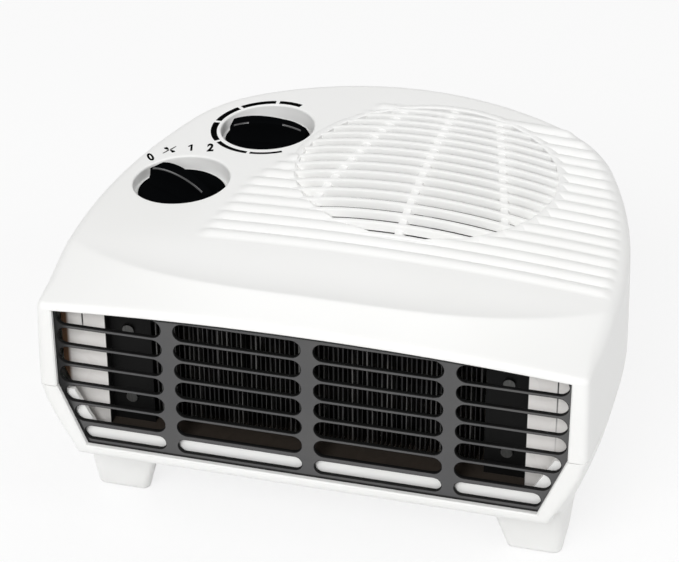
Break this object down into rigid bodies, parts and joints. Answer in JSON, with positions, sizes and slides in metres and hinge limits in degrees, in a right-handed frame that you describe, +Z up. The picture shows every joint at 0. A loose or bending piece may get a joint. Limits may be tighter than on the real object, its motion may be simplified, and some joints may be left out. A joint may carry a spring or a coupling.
{
  "type": "fan heater",
  "caption": "Flat portable fan heater with a round domed top inlet, a barred front outlet, and knobs for the heat setting and the thermostat.",
  "frame": {"origin": "on the floor, under the middle of the body's bounding box", "axes": "+X to the right seen from the front, along the body's width; +Y from the front outlet to the back; +Z up"},
  "size_m": [0.255, 0.2211, 0.1331],
  "materials": {
    "housing_white": "moulded white plastic, fine satin",
    "grille_grey": "moulded grey plastic, satin",
    "pad_rubber": "moulded rubber",
    "screw_steel": "zinc-plated steel",
    "galvanised": "galvanised sheet steel",
    "bronze_sheet": "heat-browned sheet steel",
    "black_phenolic": "moulded black phenolic",
    "element_black": "black heat-resistant coating",
    "tab_brass": "stamped brass",
    "bakelite": "moulded phenolic",
    "ceramic": "glazed ceramic",
    "scroll_plastic": "moulded black plastic",
    "bridge_alloy": "die-cast aluminium",
    "bearing_bronze": "sintered bronze",
    "lamination_steel": "stacked electrical steel",
    "bobbin_nylon": "moulded natural nylon",
    "coil_copper": "enamelled copper wire",
    "bright_steel": "ground steel",
    "switch_black": "moulded black plastic",
    "spindle_white": "moulded acetal",
    "knob_black": "polished black plastic",
    "bush_plastic": "moulded white nylon"
  },
  "bodies": {
    "housing": {"upper_shell": "housing_white", "lower_shell": "housing_white", "outlet_grille": "grille_grey", "rubber_pads": "pad_rubber", "case_screws": "screw_steel", "left_side_plate": "galvanised", "right_side_plate": "galvanised", "duct_roof": "galvanised", "duct_floor": "bronze_sheet", "left_element_holder": "black_phenolic", "right_element_holder": "black_phenolic", "heating_bars": "element_black", "heating_fins": "element_black", "element_terminals": "tab_brass", "element_screws": "screw_steel", "thermal_cutout": "bakelite", "thermal_fuse": "ceramic", "fan_scroll": "scroll_plastic", "scroll_screws": "screw_steel", "motor_bracket": "galvanised", "motor_bracket_screws": "screw_steel", "lower_bearing_bridge": "bridge_alloy", "upper_bearing_bridge": "bridge_alloy", "motor_bearings": "bearing_bronze", "motor_laminations": "lamination_steel", "coil_bobbin": "bobbin_nylon", "motor_coil": "coil_copper", "bridge_screws": "screw_steel", "rotary_switch": "switch_black", "switch_tabs": "tab_brass", "switch_screws": "screw_steel", "thermostat_base": "ceramic", "thermostat_blades": "tab_brass", "thermostat_nut": "screw_steel", "terminal_block": "bobbin_nylon", "cord_bush": "bush_plastic"},
    "heat_switch": {"switch_knob": "knob_black", "switch_spindle": "spindle_white"},
    "thermostat_dial": {"thermostat_knob": "knob_black", "thermostat_spindle": "spindle_white"},
    "fan_rotor": {"motor_shaft": "bright_steel", "motor_rotor": "bridge_alloy", "fan_wheel": "scroll_plastic", "fan_clip": "screw_steel"}
  },
  "joints": [
    {"name": "switch_turn", "type": "hinge", "parent": "housing", "child": "heat_switch", "pos_m": [-0.089, -0.0035, 0.12], "axis": [0, 0, 1], "range_deg": [-66, 0]},
    {"name": "thermostat_turn", "type": "hinge", "parent": "housing", "child": "thermostat_dial", "pos_m": [-0.0633, 0.053, 0.12], "axis": [0, 0, 1], "range_deg": [-118, 118]},
    {"name": "fan_spin", "type": "hinge", "parent": "housing", "child": "fan_rotor", "pos_m": [0.0221, 0.0275, 0.08], "axis": [0, 0, 1], "continuous": true}
  ]
}
